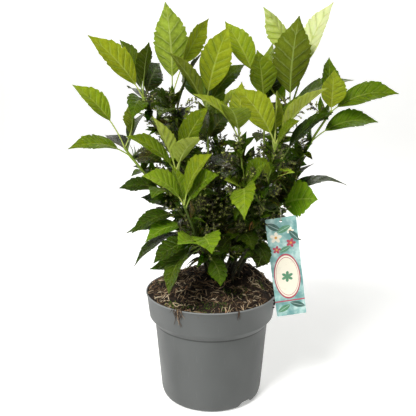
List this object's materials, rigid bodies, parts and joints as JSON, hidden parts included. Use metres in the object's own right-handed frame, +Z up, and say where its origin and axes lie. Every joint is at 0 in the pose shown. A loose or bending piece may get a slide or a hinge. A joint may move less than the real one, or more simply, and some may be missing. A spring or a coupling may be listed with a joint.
{
  "type": "potted aucuba",
  "caption": "Leafy aucuba shrub with opposite toothed leaves on green stems and fine bud sprays, in a peat-filled grey nursery pot, with a hang tag on a tie.",
  "frame": {"origin": "centre of the pot's underside, where it stands", "axes": "+Z up along the pot's axis; the side seen in the picture faces -Y; +X to the right of that view"},
  "size_m": [0.5701, 0.3905, 0.7302],
  "materials": {
    "pot_plastic": "matte moulded polypropylene",
    "peat": "damp crumbly peat with straw",
    "foliage": "satin evergreen leaf",
    "tag_card": "printed plastic card",
    "tie_cord": "thin pale cord"
  },
  "bodies": {
    "root": {"pot": "pot_plastic", "soil": "peat", "stem_front": "foliage", "stem_left": "foliage", "stem_upper_left": "foliage", "stem_crown_left": "foliage", "stem_middle": "foliage", "stem_right_front": "foliage", "stem_crown_right": "foliage", "stem_right": "foliage", "stem_back_left": "foliage", "stem_back": "foliage", "stem_back_right": "foliage", "stem_low_back": "foliage", "stem_low_left": "foliage", "label": "tag_card", "label_tie": "tie_cord"}
  },
  "joints": []
}
